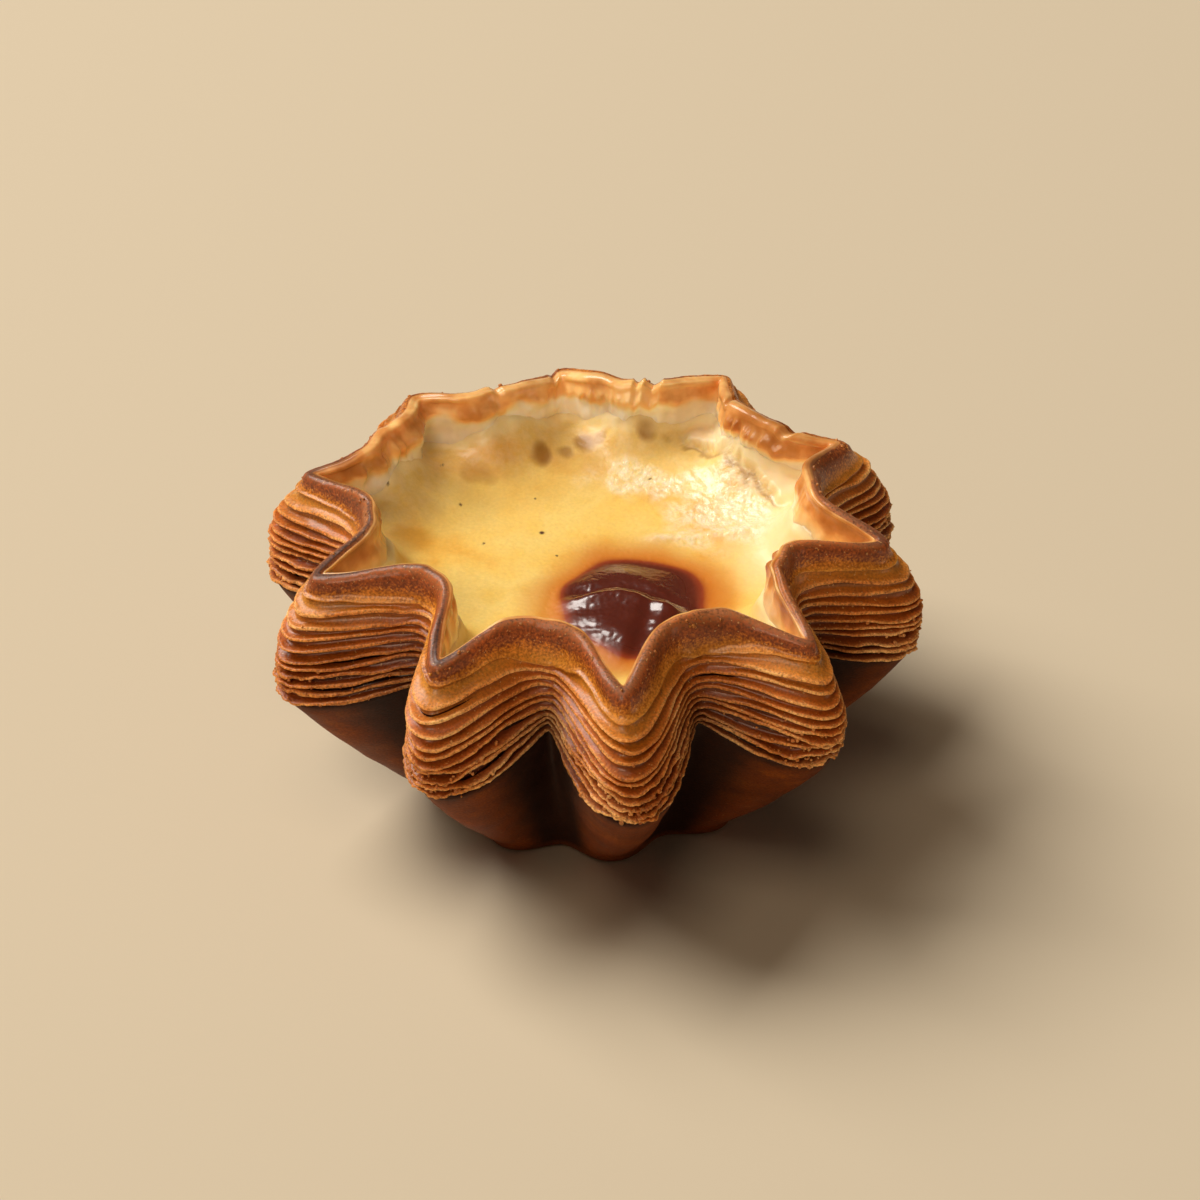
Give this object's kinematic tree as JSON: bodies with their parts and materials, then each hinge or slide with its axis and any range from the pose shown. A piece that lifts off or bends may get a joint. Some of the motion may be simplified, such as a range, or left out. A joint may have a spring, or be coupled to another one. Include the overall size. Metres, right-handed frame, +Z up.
{
  "type": "custard tart",
  "caption": "Baked custard tart: a deep fluted cup of laminated pastry with a stepped, browned cut edge, filled with set egg custard that has a dark caramelised blister.",
  "frame": {"origin": "middle of the flat base, on the surface that the tart stands on", "axes": "+Z up through the open top, -Y towards the side with the blister, +X to the right of that side"},
  "size_m": [0.0802, 0.0806, 0.038],
  "materials": {
    "pastry": "baked laminated pastry, tan lips and dark brown crevices, slightly glossy with butter",
    "custard": "set egg custard with a smooth moist skin and one dark caramelised blister"
  },
  "bodies": {
    "root": {"pastry_shell": "pastry", "custard_filling": "custard"}
  },
  "joints": []
}
